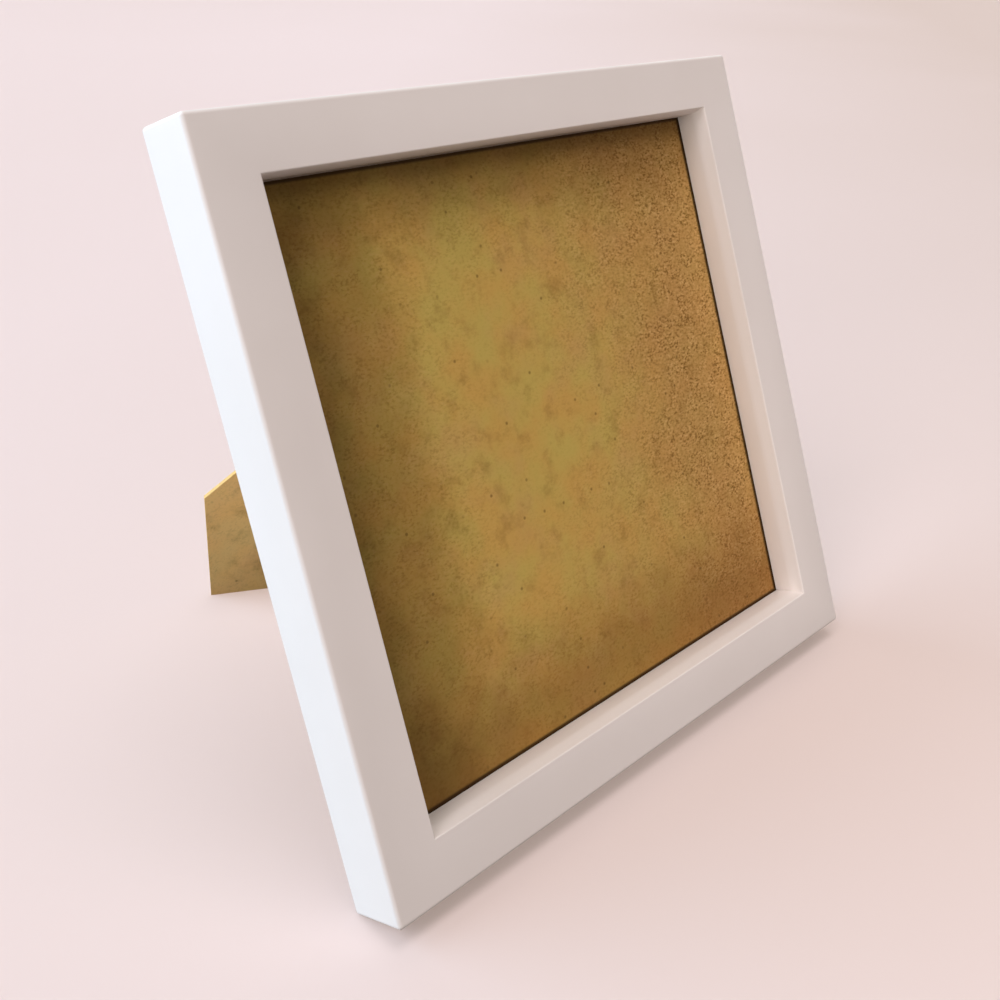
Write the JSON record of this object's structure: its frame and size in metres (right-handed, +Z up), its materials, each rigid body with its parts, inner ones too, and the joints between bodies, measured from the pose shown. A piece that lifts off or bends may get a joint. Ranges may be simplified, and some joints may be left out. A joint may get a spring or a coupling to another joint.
{
  "type": "diamond painting frame",
  "caption": "Square white picture frame with a deep lip, brown hardboard backing and a folding diagonal easel strut, made to show a diamond painting on a table or wall.",
  "frame": {"origin": "on the table, under the middle of the outline of the frame and its open strut", "axes": "+X to the right of someone who looks at the picture, +Y from the picture to the back, +Z up"},
  "size_m": [0.225, 0.194, 0.2166],
  "materials": {
    "white_paint": "smooth satin white paint",
    "hardboard": "raw mottled brown fibreboard",
    "plated_steel": "nickel plated"
  },
  "bodies": {
    "frame": {"rail_top": "white_paint", "rail_right": "white_paint", "rail_bottom": "white_paint", "rail_left": "white_paint", "v_nail_1": "plated_steel", "v_nail_2": "plated_steel", "v_nail_3": "plated_steel", "v_nail_4": "plated_steel", "picture_board": "hardboard", "easel_back": "hardboard", "hinge_panel_leaf": "plated_steel", "hinge_pin": "plated_steel", "panel_rivet_1": "plated_steel", "panel_rivet_2": "plated_steel", "clip_rivet_1": "plated_steel", "clip_rivet_2": "plated_steel", "clip_rivet_3": "plated_steel", "clip_rivet_4": "plated_steel", "hanger_strap": "plated_steel", "hanger_rivet": "plated_steel"},
    "strut": {"strut": "hardboard", "hinge_strut_leaf": "plated_steel", "strut_rivet_1": "plated_steel", "strut_rivet_2": "plated_steel"},
    "clip_1": {"turn_clip_1": "plated_steel"},
    "clip_2": {"turn_clip_2": "plated_steel"},
    "clip_3": {"turn_clip_3": "plated_steel"},
    "clip_4": {"turn_clip_4": "plated_steel"},
    "ring": {"hanger_ring": "plated_steel"}
  },
  "joints": [
    {"name": "strut_fold", "type": "hinge", "parent": "frame", "child": "strut", "pos_m": [0.07604, -0.01146, 0.17622], "axis": [-0.7071, 0.257, 0.6588], "range_deg": [0, 43]},
    {"name": "clip_turn_1", "type": "hinge", "parent": "frame", "child": "clip_1", "pos_m": [-0.045, -0.00637, 0.19244], "axis": [0, 0.9316, -0.3634], "range_deg": [-90, 90]},
    {"name": "clip_turn_2", "type": "hinge", "parent": "frame", "child": "clip_2", "pos_m": [0.093, -0.05652, 0.06388], "axis": [0, 0.9316, -0.3634], "range_deg": [-90, 90]},
    {"name": "clip_turn_3", "type": "hinge", "parent": "frame", "child": "clip_3", "pos_m": [0.045, -0.07397, 0.01916], "axis": [0, 0.9316, -0.3634], "range_deg": [-90, 90]},
    {"name": "clip_turn_4", "type": "hinge", "parent": "frame", "child": "clip_4", "pos_m": [-0.093, -0.02382, 0.14772], "axis": [0, 0.9316, -0.3634], "range_deg": [-90, 90]},
    {"name": "ring_swing", "type": "hinge", "parent": "frame", "child": "ring", "pos_m": [0, -0.0073, 0.1869], "axis": [1, 0, 0], "range_deg": [-17, 155]}
  ]
}
